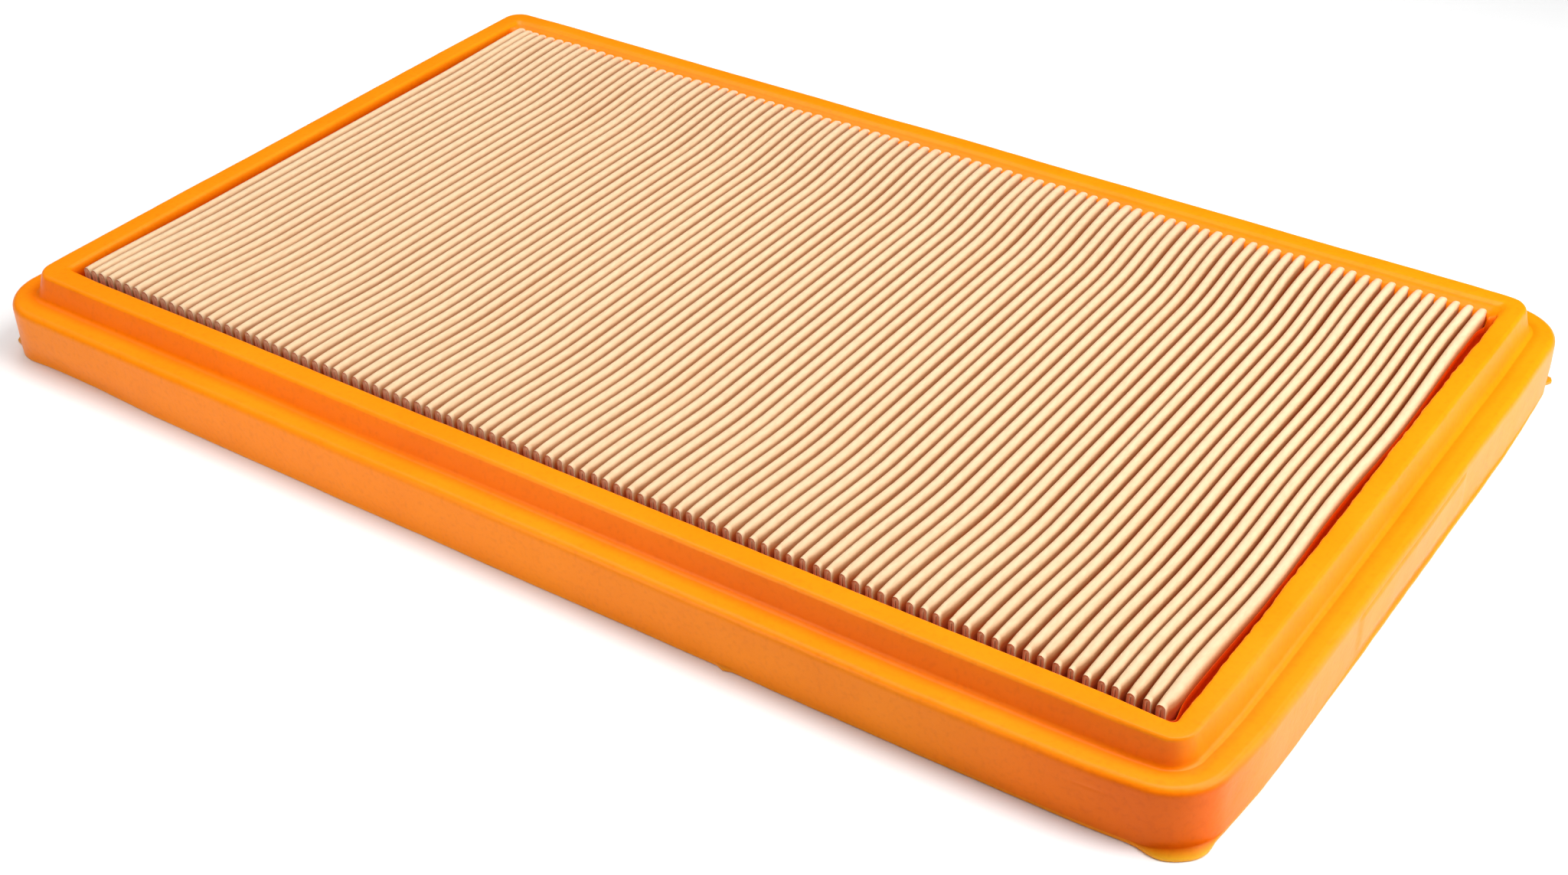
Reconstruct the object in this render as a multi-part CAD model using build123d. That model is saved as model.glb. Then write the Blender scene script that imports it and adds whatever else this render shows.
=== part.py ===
"""Rectangular panel air filter: a cast polyurethane seal frame round a pleated paper pack.

Frame of reference: millimetres, +Z up (towards the dirty-air side, where the raised lip is),
+X along the long side, origin at the centre of the flat underside that seats in the airbox.
"""
from build123d import *
from math import atan, degrees
import os

os.makedirs("parts", exist_ok=True)

# ---------------------------------------------------------------- driving dimensions
BODY_LENGTH = 288.0        # outer faces of the frame, long way
BODY_WIDTH = 176.0         # outer faces of the frame, short way
BODY_CORNER_R = 12.0
FLANGE_Z = 13.1            # flat ledge that the airbox cover clamps
FLANGE_EDGE_R = 1.6

FLASH_OUT = 0.3            # casting flash round the foot of the outer wall
FLASH_THICK = 1.2
FLASH_CORNER_R = 8.0       # tighter than the body's, so the flash stands out at the corners

RISER_FOOT_INSET = 5.7     # outer wall to the foot of the raised lip
LIP_OUTER_INSET = 7.5      # outer wall to the outer edge of the lip's top
LIP_INNER_INSET = 12.4     # outer wall to the opening
LIP_Z = 18.7
LIP_CORNER_R = 4.5
LIP_OUTER_EDGE_R = 0.8
LIP_INNER_EDGE_R = 0.5
RISER_FOOT_R = 1.0

PLEAT_COUNT = 94
PLEAT_PITCH = 2.763
PAPER_THICK = 0.45
CREST_OUTER_R = 0.95       # outside radius of the fold at the top of a pleat
CREST_Z = LIP_Z            # the folds stand level with the lip
PACK_WIDTH = 146.6         # along the fold lines

WIRE_DIA = 0.7
WIRE_PITCH = 6.35
LEDGE_THICK = 2.0          # polyurethane under the screen's edge
LEDGE_REACH = 2.7          # how far the ledge runs in under the pack
SCREEN_END_GAP = 0.2       # wire end to the cast wall

BEAD_WIDTH = 2.5           # along the fold lines
BEAD_WEB = 0.5             # hot melt under the folds
BEAD_RISE = 6.0            # how far the hot melt reaches up between the legs
BEAD_PLACES = (-45.0, -15.0, 15.0, 45.0)

GROOVE_FLOOR_Z = 11.5      # bottom of the narrow groove between the pack and the lip
LEDGE_EDGE_R = 1.0

# ---------------------------------------------------------------- worked-out dimensions
CREST_INNER_R = CREST_OUTER_R - PAPER_THICK
VALLEY_OUTER_R = PLEAT_PITCH / 2 - CREST_INNER_R
VALLEY_INNER_R = PLEAT_PITCH / 2 - CREST_OUTER_R

CROSS_WIRE_Z = LEDGE_THICK + WIRE_DIA / 2
LONG_WIRE_Z = CROSS_WIRE_Z + WIRE_DIA
BEAD_BOTTOM_Z = LONG_WIRE_Z + WIRE_DIA / 2
PAPER_BOTTOM_Z = BEAD_BOTTOM_Z + BEAD_WEB

CREST_CENTRE_Z = CREST_Z - CREST_OUTER_R
VALLEY_CENTRE_Z = PAPER_BOTTOM_Z + VALLEY_OUTER_R

CREST_X = [(i - (PLEAT_COUNT - 1) / 2) * PLEAT_PITCH for i in range(PLEAT_COUNT)]
VALLEY_X = [x + PLEAT_PITCH / 2 for x in CREST_X[:-1]]
PACK_LENGTH = 2 * (CREST_X[-1] + CREST_OUTER_R)


# ---------------------------------------------------------------- seal frame
def rounded_slab(inset, corner_r, low_z, high_z, taper=0.0):
    """A slab with rounded corners, inset from the frame's outer walls at its lower face."""
    outline = RectangleRounded(BODY_LENGTH - 2 * inset, BODY_WIDTH - 2 * inset, corner_r)
    return Pos(0, 0, low_z) * extrude(outline, amount=high_z - low_z, taper=taper)


def block(length, width, low_z, high_z):
    """A plain block centred on the Z axis between two heights."""
    centre = Pos(0, 0, (low_z + high_z) / 2)
    return centre * Box(length, width, high_z - low_z)


def edges_at(shape, z, min_reach, max_reach):
    """The edges lying flat at height z whose distance from the long centre line,
    or from the short one, is that of a loop between the two insets."""
    chosen = []
    for edge in shape.edges():
        box = edge.bounding_box()
        flat = abs(box.min.Z - z) < 1e-3 and abs(box.max.Z - z) < 1e-3
        middle = edge.position_at(0.5)
        inset = min(BODY_LENGTH / 2 - abs(middle.X), BODY_WIDTH / 2 - abs(middle.Y))
        if flat and min_reach <= inset <= max_reach:
            chosen.append(edge)
    return chosen


def make_seal_frame():
    flash = rounded_slab(-FLASH_OUT, FLASH_CORNER_R, 0, FLASH_THICK)
    body = rounded_slab(0, BODY_CORNER_R, 0, FLANGE_Z)
    body = fillet(edges_at(body, FLANGE_Z, -1, 4), FLANGE_EDGE_R)

    riser_run = LIP_OUTER_INSET - RISER_FOOT_INSET
    riser_draft = degrees(atan(riser_run / (LIP_Z - FLANGE_Z)))
    foot_corner_r = LIP_CORNER_R + riser_run
    lip = rounded_slab(RISER_FOOT_INSET, foot_corner_r, FLANGE_Z, LIP_Z, riser_draft)
    lip = fillet(edges_at(lip, LIP_Z, RISER_FOOT_INSET, LIP_INNER_INSET), LIP_OUTER_EDGE_R)

    frame = body + lip
    frame = fillet(edges_at(frame, FLANGE_Z, RISER_FOOT_INSET - 0.5, LIP_OUTER_INSET), RISER_FOOT_R)
    frame = frame + flash

    lip_opening = block(BODY_LENGTH - 2 * LIP_INNER_INSET, BODY_WIDTH - 2 * LIP_INNER_INSET,
                        GROOVE_FLOOR_Z, LIP_Z + 1)
    pack_seat = block(PACK_LENGTH, PACK_WIDTH, LEDGE_THICK, GROOVE_FLOOR_Z)
    lower_opening = block(PACK_LENGTH - 2 * LEDGE_REACH, PACK_WIDTH - 2 * LEDGE_REACH,
                          -1, LEDGE_THICK)
    frame = frame - lip_opening - pack_seat - lower_opening
    frame = fillet(edges_at(frame, LIP_Z, LIP_INNER_INSET - 0.1, LIP_INNER_INSET + 0.1),
                   LIP_INNER_EDGE_R)
    ledge_inset = (BODY_WIDTH - PACK_WIDTH) / 2 + LEDGE_REACH
    frame = fillet(edges_at(frame, 0, ledge_inset - 0.1, ledge_inset + 0.5), LEDGE_EDGE_R)
    return frame


# ---------------------------------------------------------------- pleated paper and hot melt
def half_turn(centre_x, centre_z, radius, rightward, over):
    """A half circle about a fold, over its top or under its bottom."""
    side = radius if rightward else -radius
    height = radius if over else -radius
    return ThreePointArc((centre_x - side, centre_z), (centre_x, centre_z + height),
                         (centre_x + side, centre_z))


def upright(x, start_z, end_z):
    return Line((x, start_z), (x, end_z))


def make_pleated_paper():
    """One sheet folded to and fro: every fold is round and every leg upright."""
    first, last = CREST_X[0], CREST_X[-1]
    outline = [upright(first - CREST_OUTER_R, PAPER_BOTTOM_Z, CREST_CENTRE_Z)]
    for crest, valley in zip(CREST_X, VALLEY_X):
        outline.append(half_turn(crest, CREST_CENTRE_Z, CREST_OUTER_R, True, True))
        outline.append(upright(crest + CREST_OUTER_R, CREST_CENTRE_Z, VALLEY_CENTRE_Z))
        outline.append(half_turn(valley, VALLEY_CENTRE_Z, VALLEY_INNER_R, True, False))
        outline.append(upright(valley + VALLEY_INNER_R, VALLEY_CENTRE_Z, CREST_CENTRE_Z))
    outline.append(half_turn(last, CREST_CENTRE_Z, CREST_OUTER_R, True, True))
    outline.append(upright(last + CREST_OUTER_R, CREST_CENTRE_Z, PAPER_BOTTOM_Z))
    outline.append(Line((last + CREST_OUTER_R, PAPER_BOTTOM_Z), (last + CREST_INNER_R, PAPER_BOTTOM_Z)))
    outline.append(upright(last + CREST_INNER_R, PAPER_BOTTOM_Z, CREST_CENTRE_Z))
    for crest, valley in zip(reversed(CREST_X), reversed(VALLEY_X)):
        outline.append(half_turn(crest, CREST_CENTRE_Z, CREST_INNER_R, False, True))
        outline.append(upright(crest - CREST_INNER_R, CREST_CENTRE_Z, VALLEY_CENTRE_Z))
        outline.append(half_turn(valley, VALLEY_CENTRE_Z, VALLEY_OUTER_R, False, False))
        outline.append(upright(valley - VALLEY_OUTER_R, VALLEY_CENTRE_Z, CREST_CENTRE_Z))
    outline.append(half_turn(first, CREST_CENTRE_Z, CREST_INNER_R, False, True))
    outline.append(upright(first - CREST_INNER_R, CREST_CENTRE_Z, PAPER_BOTTOM_Z))
    outline.append(Line((first - CREST_INNER_R, PAPER_BOTTOM_Z), (first - CREST_OUTER_R, PAPER_BOTTOM_Z)))
    profile = Plane.XZ * make_face(outline)
    return extrude(profile, amount=PACK_WIDTH / 2, both=True)


def make_spacer_bead(place_y):
    """A thread of hot melt across all the pleats: it runs under the folds and up between the legs."""
    tooth_top = PAPER_BOTTOM_Z + BEAD_RISE
    left_end = CREST_X[0] - CREST_INNER_R
    right_end = CREST_X[-1] + CREST_INNER_R
    outline = [upright(left_end, BEAD_BOTTOM_Z, tooth_top)]
    for crest, valley in zip(CREST_X, VALLEY_X):
        outline.append(Line((crest - CREST_INNER_R, tooth_top), (crest + CREST_INNER_R, tooth_top)))
        outline.append(upright(crest + CREST_INNER_R, tooth_top, VALLEY_CENTRE_Z))
        outline.append(half_turn(valley, VALLEY_CENTRE_Z, VALLEY_OUTER_R, True, False))
        outline.append(upright(valley + VALLEY_OUTER_R, VALLEY_CENTRE_Z, tooth_top))
    outline.append(Line((right_end - 2 * CREST_INNER_R, tooth_top), (right_end, tooth_top)))
    outline.append(upright(right_end, tooth_top, BEAD_BOTTOM_Z))
    outline.append(Line((right_end, BEAD_BOTTOM_Z), (left_end, BEAD_BOTTOM_Z)))
    profile = Plane.XZ.offset(-place_y) * make_face(outline)
    return extrude(profile, amount=BEAD_WIDTH / 2, both=True)


# ---------------------------------------------------------------- support screen
def wire_places(span):
    """Evenly pitched places about the middle, as many as fit inside the span."""
    each_side = int(span / 2 / WIRE_PITCH)
    return [k * WIRE_PITCH for k in range(-each_side, each_side + 1)]


def make_cross_wires():
    """Lower layer: wires along the fold lines, their ends lying on the ledge."""
    length = PACK_WIDTH - 2 * SCREEN_END_GAP
    wire = Rot(90, 0, 0) * Cylinder(WIRE_DIA / 2, length)
    places = wire_places(PACK_LENGTH - 2 * LEDGE_REACH - WIRE_DIA)
    return Compound(children=[Pos(x, 0, CROSS_WIRE_Z) * wire for x in places])


def make_long_wires():
    """Upper layer: wires across the fold lines, welded on the cross wires, under the pleats."""
    length = PACK_LENGTH - 2 * SCREEN_END_GAP
    wire = Rot(0, 90, 0) * Cylinder(WIRE_DIA / 2, length)
    places = wire_places(PACK_WIDTH - 2 * LEDGE_REACH - WIRE_DIA)
    return Compound(children=[Pos(0, y, LONG_WIRE_Z) * wire for y in places])


# ---------------------------------------------------------------- write the pieces
pieces = {
    "seal_frame": make_seal_frame(),
    "pleated_paper": make_pleated_paper(),
    "screen_cross_wires": make_cross_wires(),
    "screen_long_wires": make_long_wires(),
}
for number, bead_y in enumerate(BEAD_PLACES, start=1):
    pieces[f"spacer_bead_{number}"] = make_spacer_bead(bead_y)

for node, piece in pieces.items():
    export_step(piece, f"parts/{node}.step")
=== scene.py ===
"""Looks of the panel air filter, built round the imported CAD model.

Lengths are written in millimetres and turned into metres when a mesh is made.
+X runs along the long side, the fold lines run along Y, and +Z is up.
"""
import math
import bpy
import numpy as np
from mathutils import Matrix, Vector, noise


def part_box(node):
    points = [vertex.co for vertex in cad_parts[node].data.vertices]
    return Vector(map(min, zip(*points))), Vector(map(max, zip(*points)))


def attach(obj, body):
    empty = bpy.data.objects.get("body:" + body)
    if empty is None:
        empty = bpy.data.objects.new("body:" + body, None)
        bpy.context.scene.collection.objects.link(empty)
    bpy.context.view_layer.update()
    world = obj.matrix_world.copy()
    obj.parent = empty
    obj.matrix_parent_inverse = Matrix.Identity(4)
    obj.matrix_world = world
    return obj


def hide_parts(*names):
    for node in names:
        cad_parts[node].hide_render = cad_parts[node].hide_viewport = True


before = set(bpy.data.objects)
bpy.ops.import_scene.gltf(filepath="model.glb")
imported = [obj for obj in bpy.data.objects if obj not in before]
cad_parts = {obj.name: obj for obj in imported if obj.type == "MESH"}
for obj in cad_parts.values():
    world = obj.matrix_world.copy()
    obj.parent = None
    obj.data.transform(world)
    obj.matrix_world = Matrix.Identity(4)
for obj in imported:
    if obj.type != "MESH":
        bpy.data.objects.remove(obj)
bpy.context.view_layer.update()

MM = 0.001
rng = np.random.default_rng(7)


def box_mm(node):
    """Lowest and highest corner of a CAD node, in millimetres."""
    low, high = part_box(node)
    return np.array(low) / MM, np.array(high) / MM


# ---------------------------------------------------------------- sizes
rim_low, rim_high = box_mm("seal_frame")
pack_low, pack_high = box_mm("pleated_paper")
screen_low = box_mm("screen_cross_wires")[0]

FLASH_OUT = 0.3                       # the flash stands out this far along the CAD body's sides
HALF_X = rim_high[0] - FLASH_OUT      # outer walls
HALF_Y = rim_high[1] - FLASH_OUT
CORNER_R = 12.0
FOOT_R = 0.3
FLASH_TOP = 0.75
FLANGE_Z = 13.1
FLANGE_EDGE_R = 1.6
RISER_FOOT = 5.7                      # distances in from the outer wall: foot of the riser,
LIP_OUTER = 7.5                       # outer edge of the lip,
LIP_INNER = 12.4                      # and the opening
RISER_FOOT_R = 1.4
LIP_Z = rim_high[2]
LIP_CORNER_R = 4.5
LIP_OUTER_EDGE_R = 1.1
LIP_INNER_EDGE_R = 0.8
OPENING_CORNER_R = 1.2
GROOVE_FLOOR_Z = 11.5
LEDGE_Z = screen_low[2]
LEDGE_REACH = 2.7
LEDGE_EDGE_R = 1.0

PLEAT_COUNT = 94
LAST = PLEAT_COUNT - 1
PACK_HALF_X = pack_high[0]
PACK_HALF_Y = pack_high[1]
CREST_R = 0.95
PLEAT_PITCH = 2 * (PACK_HALF_X - CREST_R) / LAST
PAPER_THICK = 0.45
PACK_SHIFT = np.array([1.0, 0.5])     # the crests lie this far to the right, and the pack to the back


# ---------------------------------------------------------------- helpers
def smoothstep(t):
    """Goes smoothly from 0 to 1 while t does, and stays there."""
    t = np.clip(t, 0.0, 1.0)
    return t * t * (3 - 2 * t)


def ease(value, start, run):
    """Goes smoothly from 0 to 1 while value goes from start to start + run."""
    return smoothstep((value - start) / run)


def grid_faces(rows, columns, wrap_rows, wrap_columns):
    """Quads of a grid of rows x columns points, joined round at the ends where asked."""
    row = np.arange(rows if wrap_rows else rows - 1)
    column = np.arange(columns if wrap_columns else columns - 1)
    row, column = np.meshgrid(row, column, indexing="ij")
    row_start = row * columns
    next_start = (row + 1) % rows * columns
    next_column = (column + 1) % columns
    corners = [row_start + column, next_start + column, next_start + next_column, row_start + next_column]
    return np.stack(corners, axis=-1).reshape(-1, 4).tolist()


def mesh_object(name, points_mm, faces):
    """A smooth-shaded object from an array of points in millimetres and a list of faces."""
    mesh = bpy.data.meshes.new(name)
    mesh.from_pydata((np.asarray(points_mm).reshape(-1, 3) * MM).tolist(), [], faces)
    mesh.update()
    mesh.polygons.foreach_set("use_smooth", [True] * len(mesh.polygons))
    piece = bpy.data.objects.new(name, mesh)
    bpy.context.scene.collection.objects.link(piece)
    return piece


def point_attribute(piece, name, values):
    """Stores one number for each point of a piece, for its material to read."""
    attribute = piece.data.attributes.new(name, "FLOAT", "POINT")
    attribute.data.foreach_set("value", values.astype(np.float32))


def wavy(points, size, amount, seed):
    """Smooth noise between -amount and amount at each point, with features about size wide."""
    offset = Vector((seed * 17.3, seed * 5.1, seed * 9.7))
    values = [noise.noise(Vector(p) / size + offset) for p in points.reshape(-1, 3)]
    return amount * np.array(values).reshape(points.shape[:-1])


# ---------------------------------------------------------------- folds of the paper
STATIONS = 35                         # points along a fold line,
STATION_POWER = 1.5                   # which crowd towards its ends by this power
LEG_STEPS = 3
CREST_STEPS = 9
VALLEY_STEPS = 5

PACK_BOW = 2.0                        # the folds curve this far towards -X at both their ends,
BOW_START = 38.0                      # from here outwards along the fold
BOW_RUN = 34.0
# The folds near the lip take only a share of the bow: fold numbers, shares.
BOW_SHARE_LEFT = ((0, 1, 2, 3), (0.4, 0.6, 0.85, 1.0))
BOW_SHARE_RIGHT = ((78, 86, LAST), (1.0, 0.5, 0.5))

END_SCATTER = 0.12                    # how unevenly the folds' ends lie
SLOW_WANDER = (3, 0.055)              # a crest's sideways wander: knots along its length, how far
QUICK_WANDER = (6, 0.045)
END_WANDER = (2, 0.05)
END_WANDER_MIDDLE = 0.4               # share of the last one in the middle of a fold
LOOSENESS = ((50, 80), (0.7, 1.1))    # the crests wander more at the right: fold numbers, factors
RIPPLE = ((80, LAST), (0.0, 0.3))     # all the right-hand folds sway together: fold numbers, how far
RIPPLE_SIZE = 8.6                     # length along the fold of one radian of the sway,
RIPPLE_START = 0.6                    # its phase,
RIPPLE_SLIP = 0.05                    # and how far the phase moves on from fold to fold
CROWDING = ((88, LAST), (0.0, 0.32))  # the last folds are pressed back from the lip: numbers, how far,
CROWDING_ENDS = 0.5                   # and by this share less at their ends
VALLEY_FOLLOWS = 0.35                 # how much of the bow and the ripple a valley takes,
VALLEY_WANDERS = 0.2                  # and of its crest's own wander

CREST_BULGE = 0.03                    # the crests swell this much to each side of the legs below them
CREST_UNEVEN = (5, 0.035)
LAST_CREST_WIDER = 0.15
LAST_FLARE = 0.45                     # the last fold splays this much towards the lip at its near end
LAST_FLARE_START = 35.0
LAST_FLARE_RUN = 30.0
CREST_DROP = 0.08                     # the crests lie this far below the pack's top, or more:
DROP_UNEVEN = (4, 0.08)
END_DROP = 0.35                       # more at the pinched ends,
FAR_END_DROP = 0.45                   # and most at the far ones
END_TAPER = (0.2, 0.68)               # the ends of the first and the last fold are this much narrower
END_TAPER_UNEVEN = 0.15
FAR_TAPER_BOTH = 0.35                 # share of the taper taken by the left face at the far ends
NEAR_TAPER_RUN = 4.6                  # the taper's length at the near and at the far ends
FAR_TAPER_RUN = 2.4
CRIMP_RUN = 1.5                       # the folds are crimped shut over this length at their ends
CRIMPED_GAP = 0.02
PAPER_SHADE_DEPTH = 5.0                # painted shade darkens the paper down to this far inside the folds


def pleat_bow(number):
    """How much of the pack's bow a fold takes: the folds next to the lip are held straighter."""
    return np.interp(number, *BOW_SHARE_LEFT) * np.interp(number, *BOW_SHARE_RIGHT)


def smooth_random(knots, amount):
    """For each fold, a smooth random line along its stations."""
    values = rng.normal(0, amount, (PLEAT_COUNT, knots))
    at = np.linspace(0, knots - 1, STATIONS)
    low = np.clip(at.astype(int), 0, knots - 2)
    share = smoothstep(at - low)
    return values[:, low] * (1 - share) + values[:, low + 1] * share


class Pack:
    """Where each fold of the paper lies, station by station along Y."""

    def __init__(self):
        along = np.linspace(-1, 1, STATIONS)
        self.along = np.sign(along) * (1 - (1 - np.abs(along)) ** STATION_POWER)
        number = np.arange(PLEAT_COUNT)
        half = PACK_HALF_Y + rng.normal(0, END_SCATTER, PLEAT_COUNT)
        self.y = PACK_SHIFT[1] + half[:, None] * self.along[None, :]
        from_middle = np.abs(self.y - PACK_SHIFT[1])
        ends = ease(from_middle, BOW_START, BOW_RUN)

        held = ((number - LAST / 2) * PLEAT_PITCH)[:, None]
        bow = -PACK_BOW * pleat_bow(number)[:, None] * ends
        wander = smooth_random(*SLOW_WANDER) + smooth_random(*QUICK_WANDER)
        wander += (END_WANDER_MIDDLE + ends) * smooth_random(*END_WANDER)
        wander *= np.interp(number, *LOOSENESS)[:, None]
        phase = self.y / RIPPLE_SIZE + RIPPLE_START + number[:, None] * RIPPLE_SLIP
        ripple = np.interp(number, *RIPPLE)[:, None] * np.sin(phase)
        crowd = np.interp(number, *CROWDING)[:, None] * (1 - CROWDING_ENDS * ends)
        self.crest_x = held + PACK_SHIFT[0] + bow + wander + ripple - crowd
        self.valley_x = held + VALLEY_FOLLOWS * (bow + ripple) + VALLEY_WANDERS * wander

        run = np.where(self.y > 0, FAR_TAPER_RUN, NEAR_TAPER_RUN)
        pinch = smoothstep(1 - (half[:, None] - from_middle) / run)
        taper = np.interp(number, (0, LAST), END_TAPER)
        self.pinch = pinch * (taper * (1 + rng.normal(0, END_TAPER_UNEVEN, PLEAT_COUNT)))[:, None]
        self.half_width = CREST_BULGE + CREST_R + smooth_random(*CREST_UNEVEN)
        self.half_width[-1] += LAST_CREST_WIDER
        self.flare = np.zeros_like(self.y)
        self.flare[-1] = LAST_FLARE * ease(-self.y[-1], LAST_FLARE_START, LAST_FLARE_RUN)
        self.drop = CREST_DROP + np.abs(smooth_random(*DROP_UNEVEN))
        self.drop += END_DROP * (taper / END_TAPER[1])[:, None] * pinch ** 2
        self.drop += FAR_END_DROP * pinch ** 4 * (self.y > 0)

    def crest_edges(self, number):
        """Left and right outer faces of a fold at its top."""
        half_width = self.half_width[number]
        far = FAR_TAPER_BOTH * self.pinch[number] * (self.y[number] > 0)
        left = self.crest_x[number] - half_width + far
        right = self.crest_x[number] + half_width - self.pinch[number] + far + self.flare[number]
        return left, right

    def crest_z(self, number):
        """Height at which a fold's round top begins."""
        left, right = self.crest_edges(number)
        return pack_high[2] - self.drop[number] - (right - left) / 2

    def valley_edges(self, number):
        """Left and right faces of the gap to the right of a fold, at its bottom."""
        left = self.valley_x[number] + CREST_R
        right = self.valley_x[number + 1] - CREST_R
        return left, right


pack = Pack()


# ---------------------------------------------------------------- rings of the seal frame
CORNER_STEPS = 16
LONG_STEPS = 150
SHORT_STEPS = 190
SIDES = ((1, 1, LONG_STEPS), (-1, 1, SHORT_STEPS), (-1, -1, LONG_STEPS), (1, -1, SHORT_STEPS))


def side_turns():
    """The outward angle, in radians, at every point round a ring: each corner, then the side after it."""
    turns = []
    for number, (_, _, steps) in enumerate(SIDES):
        start = number * math.pi / 2
        turns.append(start + np.linspace(0, math.pi / 2, CORNER_STEPS + 1))
        turns.append(np.full(steps - 1, start + math.pi / 2))
    return np.concatenate(turns)


OUTWARD = np.column_stack([np.cos(side_turns()), np.sin(side_turns())])


def ring(inset, corner_r, outer=(HALF_X, HALF_Y)):
    """Plan points round a rounded rectangle set in from the outer half sizes.
    Every ring has the same number of points."""
    half_x = outer[0] - inset
    half_y = outer[1] - inset
    points = []
    for number, (side_x, side_y, steps) in enumerate(SIDES):
        centre = np.array([side_x * (half_x - corner_r), side_y * (half_y - corner_r)])
        turn = number * math.pi / 2 + np.linspace(0, math.pi / 2, CORNER_STEPS + 1)
        arc = centre + corner_r * np.column_stack([np.cos(turn), np.sin(turn)])
        next_x, next_y, _ = SIDES[(number + 1) % 4]
        next_centre = np.array([next_x * (half_x - corner_r), next_y * (half_y - corner_r)])
        share = np.linspace(0, 1, steps + 1)[1:-1, None]
        points += [arc, arc[-1] + share * (next_centre - centre)]
    return np.concatenate(points)


# ---------------------------------------------------------------- section of the seal frame
PAD_HALF_Y = 25.6                     # plain raised pad on the right-hand wall
PAD_LOW_Z = 2.8
PAD_HIGH_Z = 11.1
PAD_HEIGHT = 0.28
PAD_EDGE = 0.8
SCRATCH_X = 123.5                     # a short nick in the front wall
SCRATCH_Z = 9.0
SCRATCH_HALF = 2.8
SCRATCH_DEPTH = 0.12
WALL_ROWS = (FLASH_TOP + 0.1, 1.2, 2.6, 2.9, 4.2, 5.6, 7.0, 8.2, 8.75, SCRATCH_Z, 9.25, 10.2, 11.0, 11.25)
FLANGE_ROW = 3.0                      # distances in of the flange's inner row
LIP_ROW = 10.3                        # and the lip's middle one, which has its own corner radius
LIP_ROW_CORNER_R = 2.2

RISER_SHADE = 0.3                      # painted shade on the riser, up to this far below the lip's top
RISER_TOP = 0.6
# Rows of the wall inside the lip: height, painted shade.
INSIDE_ROWS = ((LIP_Z - 1.3, 0.2), (LIP_Z - 1.9, 0.5), (LIP_Z - 2.8, 0.8), (LIP_Z - 4.5, 1.0), (12.1, 1.0))
INSIDE_DRAFT = 0.03                   # this wall leans in by this much per millimetre down
GROOVE_CORNER = 0.5
CREEP_Z = 15.5                        # the casting crept this high up the pack's side
CREEP_ROWS = ((-0.5, GROOVE_FLOOR_Z + 0.5), (-0.25, CREEP_Z - 1.2), (-0.08, CREEP_Z))
SEAT_GAP = 0.05
BOTTOM_ROWS = ((8.0, 0.0), (3.0, 0.0))
BOTTOM_CORNER_R = 4.0


def arc_section(centre_inset, centre_z, radius, start_deg, end_deg, steps):
    """Points of a round edge in the section: inset grows inwards, z upwards."""
    turn = np.radians(np.linspace(start_deg, end_deg, steps + 1))
    return [(centre_inset + radius * math.cos(t), centre_z + radius * math.sin(t)) for t in turn]


def riser_section():
    """The slope from the flange up to the lip, with a round foot and a round top."""
    lean = math.atan2(LIP_Z - FLANGE_Z, LIP_OUTER - RISER_FOOT)
    lean_deg = math.degrees(lean)
    foot_inset = RISER_FOOT - RISER_FOOT_R * math.tan(lean / 2)
    top_inset = LIP_OUTER + LIP_OUTER_EDGE_R * math.tan(lean / 2)
    foot = arc_section(foot_inset, FLANGE_Z + RISER_FOOT_R, RISER_FOOT_R, 270, 270 + lean_deg, 7)
    top = arc_section(top_inset, LIP_Z - LIP_OUTER_EDGE_R, LIP_OUTER_EDGE_R, 90 + lean_deg, 90, 7)
    middle = tuple(np.mean([foot[-1], top[0]], axis=0))
    return foot + [middle] + top


def rim_section():
    """The section of the frame, from the outer wall's foot over the lip and down inside the opening.
    Each point is (inset, z, corner radius, whether it goes round the pack's seat, painted shade)."""
    section = []

    def add(pairs, corner_r=None, round_seat=False, shade_paint=0.0):
        for inset, z in pairs:
            radius = corner_r if corner_r is not None else max(CORNER_R - inset, 1.0)
            section.append((inset, z, radius, round_seat, shade_paint))

    add(arc_section(FOOT_R, FOOT_R, FOOT_R, 270, 180, 4))
    add([(0.0, FLASH_TOP - 0.1), (0.0, FLASH_TOP)])
    add([(0.0, z) for z in WALL_ROWS])
    add(arc_section(FLANGE_EDGE_R, FLANGE_Z - FLANGE_EDGE_R, FLANGE_EDGE_R, 180, 90, 8))
    add([(FLANGE_ROW, FLANGE_Z)])

    for inset, z in riser_section():
        # the riser is painted with shade below its round top
        shade_paint = RISER_SHADE if z < LIP_Z - RISER_TOP else 0.0
        add([(inset, z)], LIP_CORNER_R + LIP_OUTER - inset, shade_paint=shade_paint)
    add([(LIP_ROW, LIP_Z)], LIP_ROW_CORNER_R)

    edge_inset = LIP_INNER - LIP_INNER_EDGE_R
    inner_edge = arc_section(edge_inset, LIP_Z - LIP_INNER_EDGE_R, LIP_INNER_EDGE_R, 90, 0, 6)
    add(inner_edge, OPENING_CORNER_R)
    # painted shade darkens the wall inside the lip downwards, fully at the groove floor
    for z, shade_paint in INSIDE_ROWS:
        add([(LIP_INNER + INSIDE_DRAFT * (LIP_Z - z), z)], OPENING_CORNER_R, shade_paint=shade_paint)
    add([(LIP_INNER + GROOVE_CORNER, GROOVE_FLOOR_Z)], OPENING_CORNER_R, shade_paint=1.0)

    ledge = [(SEAT_GAP, CREEP_Z), (SEAT_GAP, LEDGE_Z), (LEDGE_REACH, LEDGE_Z)]
    ledge_edge = arc_section(LEDGE_REACH - LEDGE_EDGE_R, LEDGE_EDGE_R, LEDGE_EDGE_R, 0, -90, 5)
    # painted shade on the creep up the pack, and half as much on the ledge
    add(CREEP_ROWS, OPENING_CORNER_R, True, 1.0)
    add(ledge, OPENING_CORNER_R, True, 0.5)
    add(ledge_edge, OPENING_CORNER_R, True)
    add(BOTTOM_ROWS, BOTTOM_CORNER_R)
    return section


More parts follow.
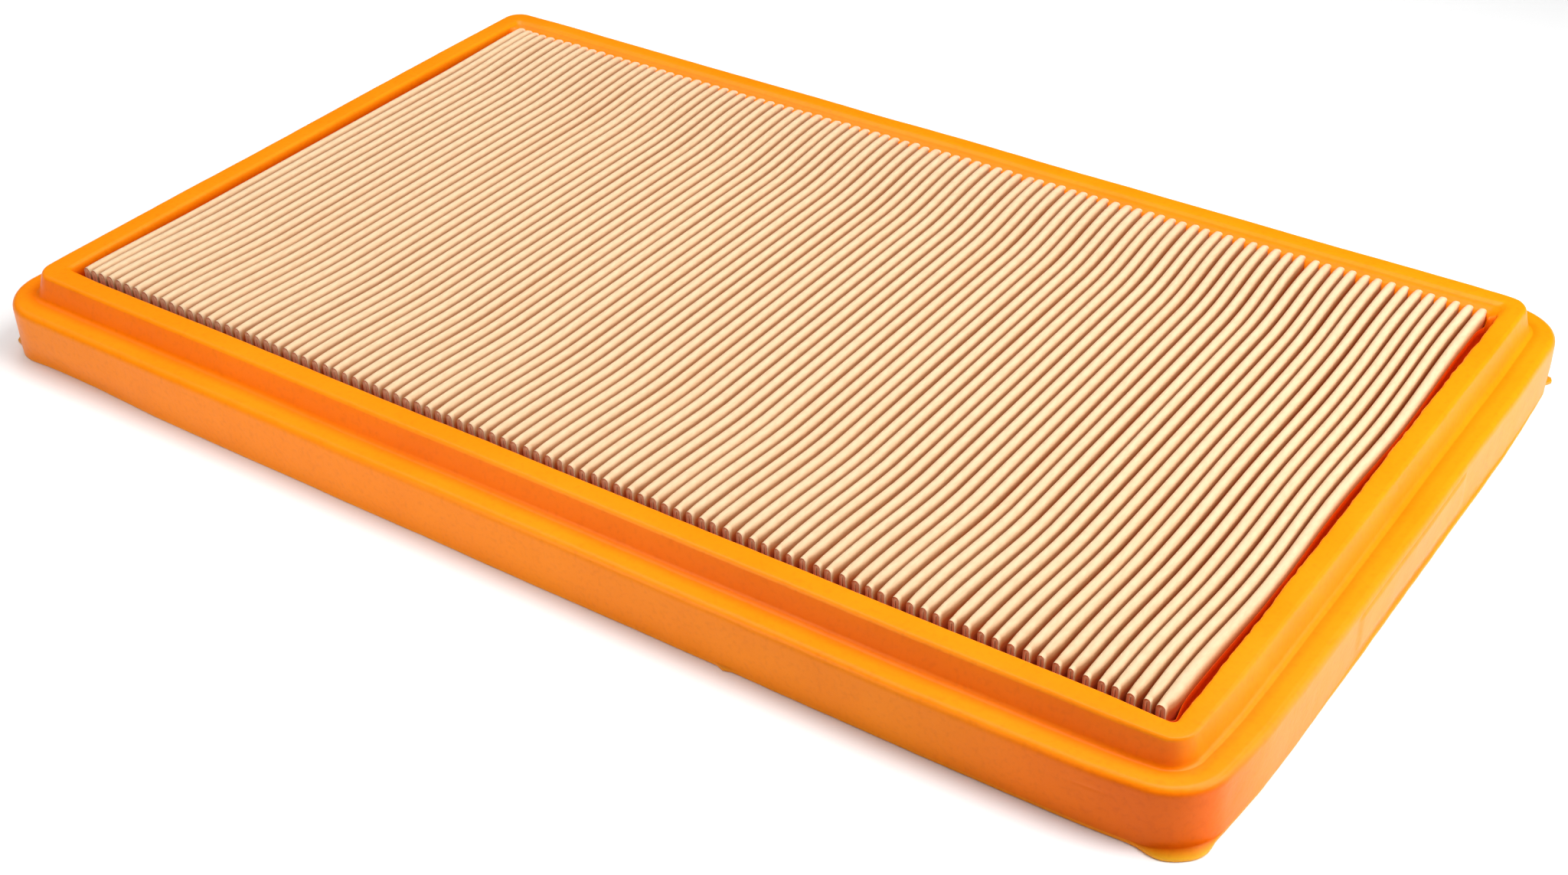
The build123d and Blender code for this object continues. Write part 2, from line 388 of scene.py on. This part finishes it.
# ---------------------------------------------------------------- how the casting came out of its mould
# Where there are two numbers, a change starts at the first and is complete after the second.
SIDE_X = (120.0, 20.0)                # a short wall's share, by the distance from the middle,
SIDE_Y = (60.0, 24.0)                 # and a long wall's
OUTER_INSET = (4.0, 6.0)              # the offsets of the outer wall fade out inwards,
LIP_INSET = (9.0, 3.0)                # and those of the lip's inner edge fade in
LEAN_HEIGHT = 7.0
WALL_TAPER = 1.3                      # the front wall pulls in this much towards its right-hand corner,
WALL_TAPER_X = (80.0, 64.0)
SHORT_TAPER = 0.7                     # and the right-hand wall this much towards both of its corners
SHORT_TAPER_Y = (40.0, 48.0)
SHORT_IN = 0.25                       # the short walls stand this far inside the drawn ones
CORNER_SPREAD = 0.6                   # the foot of the front right corner spreads by this
WALL_LEAN = 0.35                      # the foot of the wall is this far inside its top,
PLUMB_RIGHT = 0.8                     # less by this share in the middle of the right-hand wall,
FOOT_IN = 1.0                         # and this much more at the left of the front wall,
FOOT_IN_X = (92.0, 30.0)              # growing from here
FOOT_OUT_X = (131.0, 8.0)             # and ending at the corner
LIP_RIGHT = 0.45                      # the lip's inner edge lies outwards by this at the right,
LIP_LEFT = 0.4                        # and inwards by these at the left and the front
LIP_FRONT = 0.2
FLASH_BUMPS = (                       # left-over flash: plan place, how wide, where its edge lies, how much painted glow
    ((139.0, -84.8), 6.3, 0.35, 1.0),
    ((-142.4, -82.0), 2.0, 1.6, 0.6),
    ((142.2, 82.4), 1.6, 0.7, 0.4),
    ((144.0, 15.0), 45.0, 0.05, 0.25),
    ((51.0, -88.0), 1.0, 0.2, 0.35),
)
FLASH_GLOW = 0.2                      # painted glow on the flash everywhere else
FACE_INSET = 0.6                      # rings nearer the outer wall than this belong to its face


def rim_offset(place, inset, z):
    """How far the real casting stands out from the drawn one at each point of a ring.
    place is the plan point of the outer wall at the same turn of the ring."""
    x, y = place[:, 0], place[:, 1]
    front = ease(-y, *SIDE_Y)
    back = ease(y, *SIDE_Y)
    right = ease(x, *SIDE_X)
    left = ease(-x, *SIDE_X)
    outer = 1 - ease(inset, *OUTER_INSET)
    lowness = 1 - smoothstep(z / LEAN_HEIGHT)
    along_front = np.clip((x - WALL_TAPER_X[0]) / WALL_TAPER_X[1], 0, 1)
    along_short = np.clip((np.abs(y) - SHORT_TAPER_Y[0]) / SHORT_TAPER_Y[1], 0, 1)

    offset = -WALL_TAPER * outer * front * along_front ** 2
    offset -= SHORT_TAPER * outer * right * along_short ** 2
    offset += CORNER_SPREAD * lowness * right * front
    offset -= WALL_LEAN * lowness * (1 - PLUMB_RIGHT * right * (1 - front - back)) * (1 - left * front)
    offset -= FOOT_IN * lowness * front * ease(-x, *FOOT_IN_X) * (1 - ease(-x, *FOOT_OUT_X))
    offset -= SHORT_IN * outer * (right + left * (1 - front))
    offset += (LIP_RIGHT * right - LIP_LEFT * left - LIP_FRONT * front) * ease(inset, *LIP_INSET)
    if inset < FACE_INSET and PAD_LOW_Z < z < PAD_HIGH_Z:
        offset += PAD_HEIGHT * (smoothstep((PAD_HALF_Y - np.abs(y)) / PAD_EDGE + 0.5) * right)
    if z == SCRATCH_Z:
        offset -= SCRATCH_DEPTH * front * (np.abs(x - SCRATCH_X) < SCRATCH_HALF)
    return offset


def flash_ring(wall, offset):
    """A ring of the foot with the left-over flash, and the painted glow at each point."""
    painted_glow = np.full(len(wall), FLASH_GLOW)
    for place, width, edge, glow_share in FLASH_BUMPS:
        distance = np.linalg.norm(wall - np.array(place), axis=1)
        bulge = np.exp(-(distance / width) ** 4)
        offset = offset + bulge * (edge - offset)
        painted_glow = np.maximum(painted_glow, bulge * glow_share)
    return offset, painted_glow


# ---------------------------------------------------------------- polyurethane that crept round the pack
CREEP_RIGHT = 0.7                     # the creep is this much higher at the right-hand end,
CREEP_SUNK = 0.9                      # less by this share towards the near corner
CREEP_SUNK_Y = (30.0, 40.0)
CREEP_FADE = 6.0                      # it fades out over this length towards the ends of the folds
CREEP_END = 1.0                       # and ends this far before them
CREEP_SHOWS = 2.0                     # only what lies less than this below its top rises
RIGHT_END_X = 129.0                   # points of the seat beyond this are at the right-hand end
PRESSED_INSET = 0.5                   # rings nearer the pack's side than this are pressed against it
BACK_FILL_Z = 18.1                    # at the far ends of the folds it filled the gap: this high at
BACK_TIP_Z = 17.5                     # the lip, sinking to this at the folds
BACK_TIP_SLOPE = 0.8                  # the fill rises this much per millimetre outwards
BACK_FILL_REACH = 1.1
BACK_FILL_Y = (70.0, 2.0)
FILL_SINKS = 1.5                      # the fill sinks over this many radii of the lip's inner edge


def seat_ring(inset, z, corner_r):
    """A ring round the pack, pressed against its outermost folds where it is high enough to be seen."""
    plan = ring(inset, corner_r, (PACK_HALF_X, PACK_HALF_Y)) + PACK_SHIFT
    height = np.full(len(plan), float(z))
    if z > GROOVE_FLOOR_Z and inset < PRESSED_INSET:
        to_end = PACK_HALF_Y - CREEP_END - np.abs(plan[:, 1])
        right = (plan[:, 0] > RIGHT_END_X) * smoothstep(to_end / CREEP_FADE)
        face = np.interp(plan[:, 1], pack.y[LAST], pack.crest_edges(LAST)[1])
        plan[:, 0] += right * (face - inset - plan[:, 0])
        if z > CREEP_Z - CREEP_SHOWS:
            height += CREEP_RIGHT * (1 - CREEP_SUNK * ease(-plan[:, 1], *CREEP_SUNK_Y)) * right
        back = ease(plan[:, 1], *BACK_FILL_Y)
        height += back * (BACK_TIP_Z - BACK_TIP_SLOPE * min(inset, 0) - height)
        plan[:, 1] -= BACK_FILL_REACH * back * (inset > 0)
    return plan, height


def fill_behind(plan, inset, height):
    """Raises the groove's far side to the level the polyurethane filled it to."""
    sunk = min((inset - LIP_INNER) / LIP_INNER_EDGE_R + 1, FILL_SINKS) / FILL_SINKS
    return height + ease(plan[:, 1], *BACK_FILL_Y) * (LIP_Z + sunk * (BACK_FILL_Z - LIP_Z) - height)


# ---------------------------------------------------------------- mesh of the seal frame
CORNER_SHADE = 0.55                    # painted shade darkens the front wall's colour this much at its right-hand corner
CORNER_SHADE_X = (85.0, 50.0)
CORNER_SHADE_RUN = 1.2                 # growing over this height below the flange
BACK_SHADE_LESS = 0.8                       # the painted shade inside the opening is lighter at the back
BACK_SHADE_LESS_Y = (69.0, 4.0)
RISER_SHADE_FADE_X = (136.0, 6.0)           # and the riser's painted shade fades out at the right-hand wall
SWELL = (22.0, 0.22, 1)               # unevenness of the casting: size, amount, seed
RIPPLES = (4.0, 0.06, 2)
RAGGED = (1.6, 0.22, 3)
RAGGED_X = 132.3                      # the lip's edge is ragged beside the last fold: about this place,
RAGGED_WIDTH = 1.5                    # this wide,
RAGGED_FROM_X = (128.0, 3.0)          # and only on the right, near the top
RAGGED_FROM_Z = (15.0, 2.0)


def painted_shade_amount(wall, plan, inset, z, round_seat, shade_paint):
    """How much painted shade darkens the orange round a ring, from 0 on open faces to 1 inside the groove.
    """
    painted_shade = np.full(len(wall), shade_paint)
    # painted shade on the front wall towards its right-hand corner, growing below the flange
    if inset < FACE_INSET and z > FLASH_TOP:
        corner = ease(wall[:, 0], *CORNER_SHADE_X) * ease(-wall[:, 1], *SIDE_Y)
        painted_shade = painted_shade + CORNER_SHADE * corner * smoothstep((FLANGE_Z - z) / CORNER_SHADE_RUN)
    # the painted shade inside the opening and round the seat is lighter towards the back
    if round_seat or inset > LIP_OUTER:
        painted_shade = painted_shade * (1 - BACK_SHADE_LESS * ease(plan[:, 1], *BACK_SHADE_LESS_Y))
    # the riser's painted shade fades out at the right-hand wall
    elif z > FLANGE_Z:
        painted_shade = painted_shade * (1 - ease(wall[:, 0], *RISER_SHADE_FADE_X))
    return painted_shade


def roughen(points, loose):
    """Swells and ripples the rings where loose is 1, and frays the lip beside the last fold."""
    outward = np.broadcast_to(np.column_stack([OUTWARD, np.zeros(len(OUTWARD))]), points.shape)
    uneven = (wavy(points, *SWELL) + wavy(points, *RIPPLES)) * np.array(loose)[:, None]
    points = points + outward * uneven[..., None]
    x, z = points[..., 0], points[..., 2]
    ragged = ease(x, *RAGGED_FROM_X) * np.exp(-((x - RAGGED_X) / RAGGED_WIDTH) ** 2)
    ragged = ragged * ease(z, *RAGGED_FROM_Z)
    return points - outward * (ragged * wavy(points, *RAGGED))[..., None]


def make_rim_mesh():
    """The polyurethane casting: one ring of points for each point of its section."""
    wall = ring(0.0, CORNER_R)
    rows, loose, painted_shade, painted_glow = [], [], [], []
    for inset, z, corner_r, round_seat, shade_paint in rim_section():
        glow_row = np.zeros(len(wall))
        if round_seat:
            plan, height = seat_ring(inset, z, corner_r)
        else:
            height = np.full(len(wall), float(z))
            offset = rim_offset(wall, inset, z)
            # the flash gets its shape and painted light, a glow
            if inset < FACE_INSET and z <= FLASH_TOP:
                offset, glow_row = flash_ring(wall, offset)
            plan = ring(inset, corner_r) + OUTWARD * offset[:, None]
            if inset > LIP_INNER - LIP_INNER_EDGE_R:
                height = fill_behind(plan, inset, height)
        rows.append(np.column_stack([plan, height]))
        loose.append(0.0 if round_seat else 1.0)
        painted_shade.append(painted_shade_amount(wall, plan, inset, z, round_seat, shade_paint))
        painted_glow.append(glow_row)
    points = roughen(np.stack(rows), loose)
    points[..., :2] = np.clip(points[..., :2], rim_low[:2], rim_high[:2])
    casting = mesh_object("rim_casting", points, grid_faces(points.shape[0], points.shape[1], True, True))
    point_attribute(casting, "painted_shade", np.concatenate(painted_shade))
    point_attribute(casting, "painted_glow", np.concatenate(painted_glow))
    return casting


rim = make_rim_mesh()


# ---------------------------------------------------------------- mesh of the paper
def half_circle(left, right, z, steps, over):
    """A round fold from left to right: station by station points (x, z)."""
    turn = np.linspace(math.pi, 0, steps + 1)
    radius = (right - left) / 2
    middle = (left + right) / 2
    height = radius if over else -radius
    x = middle[:, None] + radius[:, None] * np.cos(turn)
    return np.stack([x, z[:, None] + height[:, None] * np.sin(turn)], axis=-1)


def leg(start_x, start_z, end_x, end_z):
    """Points part-way down or up a leg, without its ends."""
    share = np.linspace(0, 1, LEG_STEPS + 2)[1:-1]
    x = start_x[:, None] + (end_x - start_x)[:, None] * smoothstep(share)
    z = start_z[:, None] + (end_z - start_z)[:, None] * share
    return np.stack([x, z], axis=-1)


def sheet_face(pack, lower):
    """The upper or the lower face of the folded sheet; the crests are crimped shut at the ends."""
    crimp = smoothstep(1 - (1 - np.abs(pack.along)) * PACK_HALF_Y / CRIMP_RUN)
    thick = PAPER_THICK * lower
    valley_r = PLEAT_PITCH / 2 - CREST_R
    valley_z = np.full(STATIONS, pack_low[2] + PAPER_THICK + valley_r)
    foot_z = np.full(STATIONS, pack_low[2])
    parts = []
    fold_y = []

    def crest_faces(number):
        left, right = pack.crest_edges(number)
        inward = thick + crimp * lower * ((right - left) / 2 - CRIMPED_GAP - PAPER_THICK)
        return left + inward, right - inward

    def put(points, y):
        parts.append(points)
        fold_y.append(np.broadcast_to(y[:, None], points.shape[:2]))

    for number in range(PLEAT_COUNT):
        y = pack.y[number]
        crest_z = pack.crest_z(number)
        left, right = crest_faces(number)
        if number == 0:
            foot_left = pack.valley_x[0] - CREST_R + thick
            put(np.stack([foot_left, foot_z], axis=-1)[:, None], y)
            put(leg(foot_left, foot_z, left, crest_z), y)
        put(half_circle(left, right, crest_z, CREST_STEPS, True), y)
        if number == LAST:
            foot_right = pack.valley_x[LAST] + CREST_R - thick
            put(leg(right, crest_z, foot_right, foot_z), y)
            put(np.stack([foot_right, foot_z], axis=-1)[:, None], y)
            continue
        gap_left, gap_right = pack.valley_edges(number)
        next_left = crest_faces(number + 1)[0]
        next_y = pack.y[number + 1]
        middle_y = (y + next_y) / 2
        put(leg(right, crest_z, gap_left - thick, valley_z), y)
        put(half_circle(gap_left - thick, gap_right + thick, valley_z, VALLEY_STEPS, False), middle_y)
        put(leg(gap_right + thick, valley_z, next_left, pack.crest_z(number + 1)), next_y)
    section = np.concatenate(parts, axis=1)
    return np.stack([section[..., 0], np.concatenate(fold_y, axis=1), section[..., 1]], axis=-1)


def end_faces(row, count):
    """Quads that close the sheet's cut edge at one end: each joins the upper face to the lower one."""
    base = row * count
    last = base + count - 1
    quads = [[base + k, base + k + 1, last - k - 1, last - k] for k in range(count // 2 - 1)]
    return quads if row else [quad[::-1] for quad in quads]


def make_paper_mesh():
    """The folded paper, with its thickness and its closed cut edges."""
    upper = sheet_face(pack, False)
    lower = sheet_face(pack, True)
    points = np.concatenate([upper, lower[:, ::-1]], axis=1)
    points[..., 2] = np.clip(points[..., 2], pack_low[2], pack_high[2])
    count = points.shape[1]
    faces = grid_faces(STATIONS, count, False, True) + end_faces(0, count) + end_faces(STATIONS - 1, count)
    folded = mesh_object("filter_paper", points, faces)

    below = np.arange(count) >= count // 2
    # painted shade grows with the depth inside the folds; the ends of the folds get none
    depth = np.where(below, points[..., 2] - pack_low[2], pack_high[2] - points[..., 2])
    painted_shade = np.clip(depth / PAPER_SHADE_DEPTH, 0, 1)
    painted_shade[[0, -1]] = 0.0
    point_attribute(folded, "painted_shade", painted_shade.ravel())
    return folded


paper = make_paper_mesh()


# ---------------------------------------------------------------- materials
def new_material(name):
    material = bpy.data.materials.new(name)
    material.use_nodes = True
    nodes = material.node_tree.nodes
    return material, nodes, material.node_tree.links, nodes["Principled BSDF"]


def object_coordinates(nodes):
    return nodes.new("ShaderNodeTexCoord").outputs["Object"]


def attribute_node(nodes, name):
    attribute = nodes.new("ShaderNodeAttribute")
    attribute.attribute_name = name
    return attribute.outputs["Fac"]


def noise_node(nodes, links, coordinates, scale, detail=3.0, stretch=(1, 1, 1)):
    """Noise over the object's own coordinates; scale is waves per metre."""
    mapping = nodes.new("ShaderNodeMapping")
    mapping.inputs["Scale"].default_value = stretch
    texture = nodes.new("ShaderNodeTexNoise")
    texture.inputs["Scale"].default_value = scale
    texture.inputs["Detail"].default_value = detail
    links.new(coordinates, mapping.inputs["Vector"])
    links.new(mapping.outputs["Vector"], texture.inputs["Vector"])
    return texture.outputs["Fac"]


def ramp_node(nodes, links, factor, stops):
    """A colour for each value of factor; stops are (value, colour)."""
    ramp = nodes.new("ShaderNodeValToRGB")
    elements = ramp.color_ramp.elements
    while len(elements) < len(stops):
        elements.new(0.5)
    for element, (place, colour) in zip(elements, stops):
        element.position = place
        element.color = (*colour, 1)
    links.new(factor, ramp.inputs["Fac"])
    return ramp.outputs["Color"]


def mix_node(nodes, links, blend, first, second):
    mix = nodes.new("ShaderNodeMixRGB")
    mix.blend_type = blend
    mix.inputs["Fac"].default_value = 1.0
    links.new(first, mix.inputs["Color1"])
    links.new(second, mix.inputs["Color2"])
    return mix.outputs["Color"]


def bump_node(nodes, links, shader, height, strength, distance):
    bump = nodes.new("ShaderNodeBump")
    bump.inputs["Strength"].default_value = strength
    bump.inputs["Distance"].default_value = distance
    links.new(height, bump.inputs["Height"])
    links.new(bump.outputs["Normal"], shader.inputs["Normal"])


def grey(value):
    return (value, value, value)


WHITE = grey(1.0)
BLACK = grey(0.0)


def polyurethane_material():
    """Cloudy orange skin with fine specks, with painted shade that makes it darker and redder in the
    groove, on the riser and at the front wall's right-hand corner, and painted light that makes the thin
    flash glow yellower.
    """
    material, nodes, links, shader = new_material("orange_polyurethane")
    coordinates = object_coordinates(nodes)
    cloud = noise_node(nodes, links, coordinates, 45.0, 4.0)
    grain = noise_node(nodes, links, coordinates, 900.0, 3.0)
    orange = ramp_node(nodes, links, cloud, ((0.3, (0.93, 0.232, 0.002)), (0.7, (0.98, 0.262, 0.003))))
    speck = ramp_node(nodes, links, grain, ((0.25, (0.93, 0.90, 0.9)), (0.5, WHITE)))
    # painted shade: darker and redder where the painted shade attribute is high
    shade_paint = ramp_node(nodes, links, attribute_node(nodes, "painted_shade"),
                     ((0.0, WHITE), (0.3, (1.0, 0.79, 0.22)), (1.0, (0.66, 0.16, 0.15))))
    # painted light: the flash glows yellower where the painted glow attribute is high
    glow = ramp_node(nodes, links, attribute_node(nodes, "painted_glow"),
                     ((0.0, BLACK), (1.0, (0.04, 0.22, 0.02))))
    colour = mix_node(nodes, links, "MULTIPLY", orange, shade_paint)
    colour = mix_node(nodes, links, "ADD", colour, glow)
    links.new(mix_node(nodes, links, "MULTIPLY", colour, speck), shader.inputs["Base Color"])
    gloss = ramp_node(nodes, links, cloud, ((0.2, grey(0.31)), (0.8, grey(0.39))))
    links.new(gloss, shader.inputs["Roughness"])
    shader.inputs["Specular IOR Level"].default_value = 0.14
    bump_node(nodes, links, shader, grain, 0.25, 0.0002)
    return material


def paper_material():
    """Cream fibres, with painted shade that makes them darker and redder further inside the folds."""
    material, nodes, links, shader = new_material("cream_filter_paper")
    # painted shade: the cream turns darker and redder deeper inside the folds
    cream_with_shade = ramp_node(nodes, links, attribute_node(nodes, "painted_shade"),
                     ((0.0, (0.74, 0.55, 0.355)), (0.08, (0.74, 0.52, 0.32)), (0.21, (0.62, 0.34, 0.17)),
                      (0.36, (0.60, 0.26, 0.10)), (0.5, (0.60, 0.15, 0.035)), (1.0, (0.45, 0.06, 0.02))))
    fibre = noise_node(nodes, links, object_coordinates(nodes), 1300.0, 5.0, (1.0, 0.35, 1.0))
    mottle = ramp_node(nodes, links, fibre, ((0.3, (0.90, 0.87, 0.84)), (0.65, WHITE)))
    links.new(mix_node(nodes, links, "MULTIPLY", cream_with_shade, mottle), shader.inputs["Base Color"])
    shader.inputs["Roughness"].default_value = 0.9
    shader.inputs["Specular IOR Level"].default_value = 0.1
    bump_node(nodes, links, shader, fibre, 0.3, 0.0002)
    return material


def wire_material():
    """Dull zinc, with lighter and glossier patches."""
    material, nodes, links, shader = new_material("galvanised_wire")
    spangle = noise_node(nodes, links, object_coordinates(nodes), 700.0, 4.0)
    zinc = ramp_node(nodes, links, spangle, ((0.3, (0.42, 0.43, 0.44)), (0.7, (0.66, 0.67, 0.68))))
    gloss = ramp_node(nodes, links, spangle, ((0.3, grey(0.5)), (0.7, grey(0.3))))
    links.new(zinc, shader.inputs["Base Color"])
    links.new(gloss, shader.inputs["Roughness"])
    shader.inputs["Metallic"].default_value = 1.0
    bump_node(nodes, links, shader, spangle, 0.2, 0.0001)
    return material


def hot_melt_material():
    """Glossy ivory glue that lets a little light in."""
    material, nodes, links, shader = new_material("ivory_hot_melt")
    ripple = noise_node(nodes, links, object_coordinates(nodes), 260.0, 3.0)
    ivory = ramp_node(nodes, links, ripple, ((0.3, (0.72, 0.60, 0.36)), (0.7, (0.86, 0.76, 0.52))))
    links.new(ivory, shader.inputs["Base Color"])
    shader.inputs["Roughness"].default_value = 0.3
    shader.inputs["Subsurface Weight"].default_value = 0.15
    shader.inputs["Subsurface Scale"].default_value = 0.001
    bump_node(nodes, links, shader, ripple, 0.4, 0.0004)
    return material


def assign(piece, material):
    piece.data.materials.clear()
    piece.data.materials.append(material)


assign(rim, polyurethane_material())
assign(paper, paper_material())
wire = wire_material()
for node in ("screen_cross_wires", "screen_long_wires"):
    assign(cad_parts[node], wire)
melt = hot_melt_material()
for number in range(1, 5):
    assign(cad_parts[f"spacer_bead_{number}"], melt)

for piece, node, slot in ((rim, "seal_frame", "polyurethane"), (paper, "pleated_paper", "filter_paper")):
    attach(piece, "root")
    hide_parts(node)


# ---------------------------------------------------------------- floor, light and camera, in metres
FLOOR_HALF = 6.0
FLOOR_GREY = 0.92
CAMERA_PLACE = Vector((0.23321, -0.32702, 0.25894))
CAMERA_TURN = (35.068, 34.795, -1.2)  # yaw to the left, pitch down and roll, in degrees
CAMERA_LENS = 50.9


def make_floor():
    """A wide pale floor under the filter, which is staging and not part of it."""
    corners = [(-FLOOR_HALF, -FLOOR_HALF, 0), (FLOOR_HALF, -FLOOR_HALF, 0),
               (FLOOR_HALF, FLOOR_HALF, 0), (-FLOOR_HALF, FLOOR_HALF, 0)]
    mesh = bpy.data.meshes.new("floor")
    mesh.from_pydata(corners, [], [(0, 1, 2, 3)])
    floor = bpy.data.objects.new("floor", mesh)
    bpy.context.scene.collection.objects.link(floor)
    material, _, _, shader = new_material("pale_floor")
    shader.inputs["Base Color"].default_value = (*grey(FLOOR_GREY), 1)
    shader.inputs["Roughness"].default_value = 0.9
    assign(floor, material)


def area_light(name, azimuth, height, distance, size, power, aim=(0, 0, 0), beam_deg=180):
    """A square soft box facing a point of the floor: angles in degrees, the azimuth from +X towards +Y,
    lengths in metres and power in watts."""
    turn, rise = math.radians(azimuth), math.radians(height)
    away = Vector((math.cos(turn) * math.cos(rise), math.sin(turn) * math.cos(rise), math.sin(rise)))
    offset = distance * away
    light = bpy.data.lights.new(name, "AREA")
    light.shape = "SQUARE"
    light.size = size
    light.energy = power
    light.spread = math.radians(beam_deg)
    lamp = bpy.data.objects.new(name, light)
    lamp.location = Vector(aim) + offset
    lamp.rotation_euler = (-offset).to_track_quat("-Z", "Y").to_euler()
    bpy.context.scene.collection.objects.link(lamp)


def make_lights():
    """Six soft boxes round the filter and one over the floor behind it. The world itself gives no light."""
    world = bpy.data.worlds.new("studio")
    world.use_nodes = True
    background = world.node_tree.nodes["Background"]
    background.inputs["Color"].default_value = (1, 1, 1, 1)
    background.inputs["Strength"].default_value = 0.0
    bpy.context.scene.world = world
    area_light("key", 20, 65, 0.45, 0.3, 1.85)
    area_light("left_top", 200, 72, 0.45, 0.3, 0.85)
    area_light("right_fill", 0, 32, 0.42, 0.2, 0.66)
    area_light("right_low", 17, 15, 0.4, 0.2, 0.35)
    area_light("left_fill", 195, 35, 0.4, 0.2, 0.09)
    area_light("front_fill", 255, 24, 0.295, 0.15, 0.22)
    area_light("backdrop", 0, 90, 0.6, 0.6, 3.4, aim=(-0.56, 0.42, 0), beam_deg=80)


def make_camera():
    """A view from the right and the front, looking down, with a slight roll."""
    yaw, pitch, roll = (math.radians(angle) for angle in CAMERA_TURN)
    forward = Vector((-math.sin(yaw) * math.cos(pitch), math.cos(yaw) * math.cos(pitch), -math.sin(pitch)))
    level = Vector((math.cos(yaw), math.sin(yaw), 0))
    over = level.cross(forward)
    right = math.cos(roll) * level + math.sin(roll) * over
    up = -math.sin(roll) * level + math.cos(roll) * over
    camera = bpy.data.cameras.new("camera")
    camera.sensor_width = 36
    camera.lens = CAMERA_LENS
    camera.clip_start = 0.01
    viewer = bpy.data.objects.new("camera", camera)
    turned = Matrix((right, up, -forward)).transposed().to_4x4()
    viewer.matrix_world = Matrix.Translation(CAMERA_PLACE) @ turned
    bpy.context.scene.collection.objects.link(viewer)
    bpy.context.scene.camera = viewer


make_floor()
make_lights()
make_camera()
bpy.context.scene.view_settings.view_transform = "Standard"
